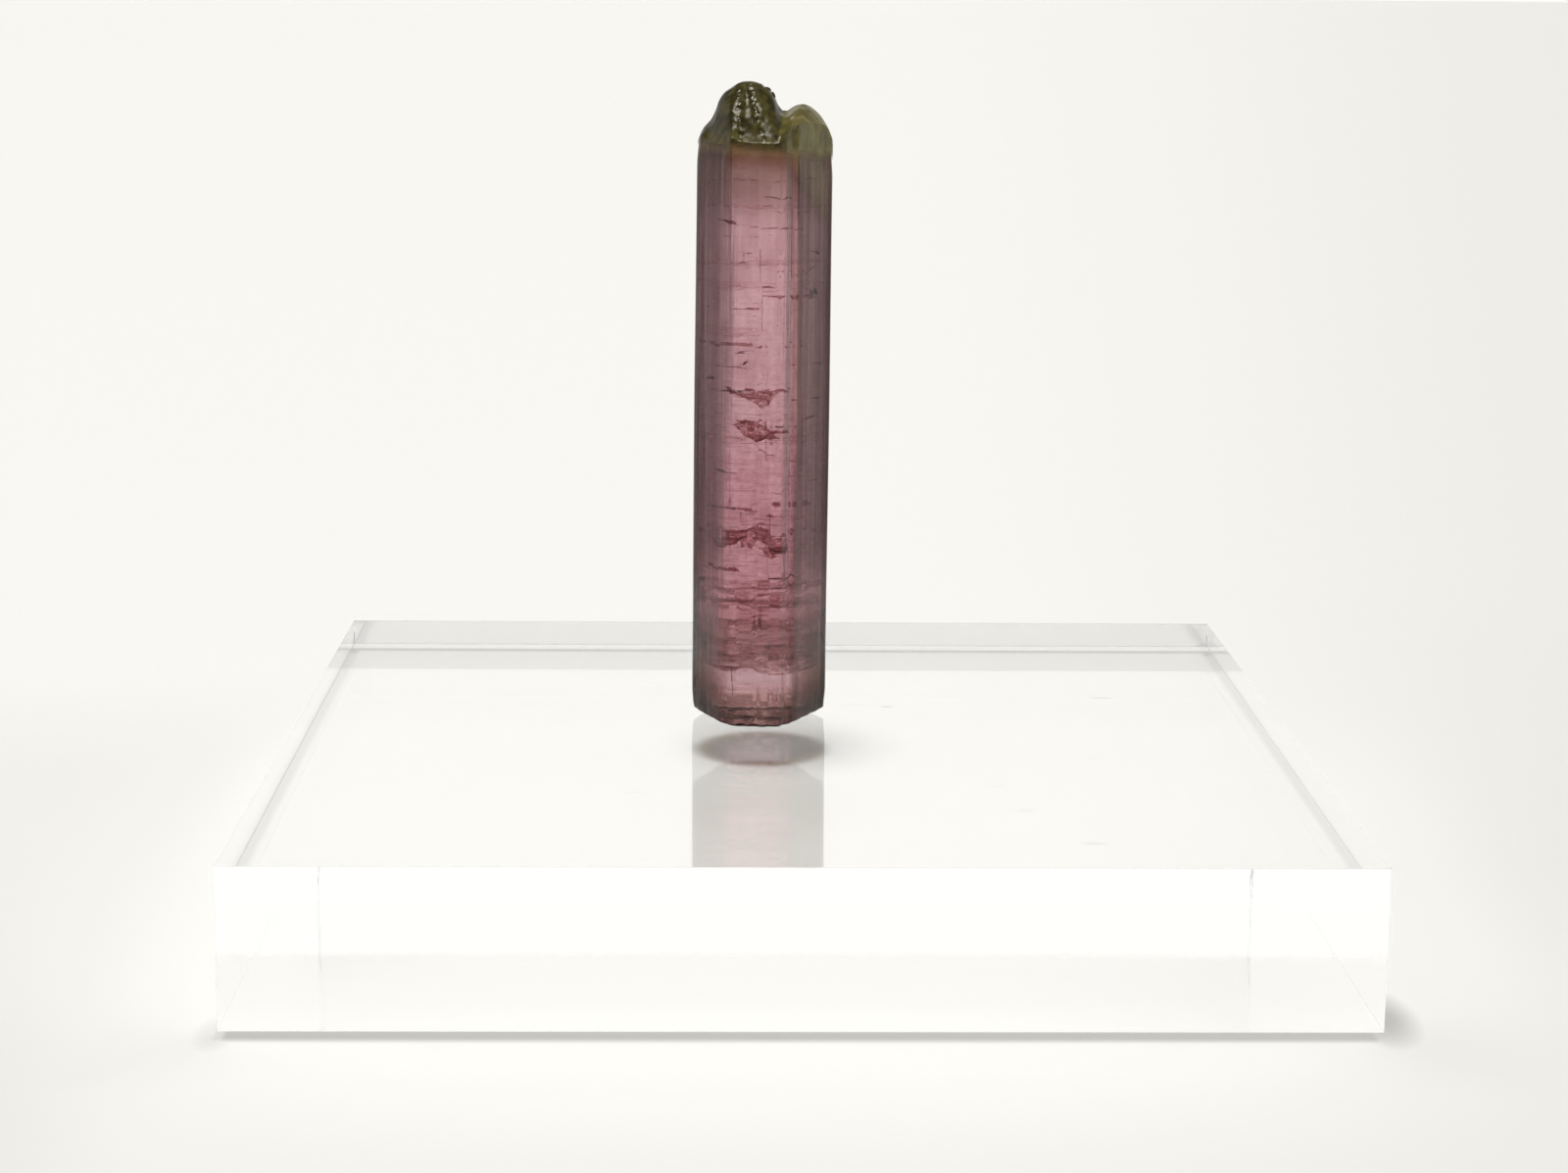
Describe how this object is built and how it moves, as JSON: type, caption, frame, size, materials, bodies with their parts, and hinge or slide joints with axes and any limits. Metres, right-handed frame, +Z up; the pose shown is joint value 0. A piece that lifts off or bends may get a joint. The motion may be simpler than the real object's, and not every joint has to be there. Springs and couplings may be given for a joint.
{
  "type": "watermelon tourmaline crystal on a display slab",
  "caption": "Slender six-sided pink tourmaline crystal with a green lobed end, standing upright on a square slab of clear acrylic.",
  "frame": {"origin": "centre of the slab's underside, on the surface that the slab lies on", "axes": "+Z up along the crystal, -Y towards the viewer, +X to the viewer's right"},
  "size_m": [0.0636, 0.0636, 0.05],
  "materials": {
    "tourmaline": "natural striated prism faces, pink with grey-olive flanks and an olive-green end",
    "clear_acrylic": "water-clear, polished"
  },
  "bodies": {
    "root": {"tourmaline_crystal": "tourmaline", "acrylic_slab": "clear_acrylic"}
  },
  "joints": []
}
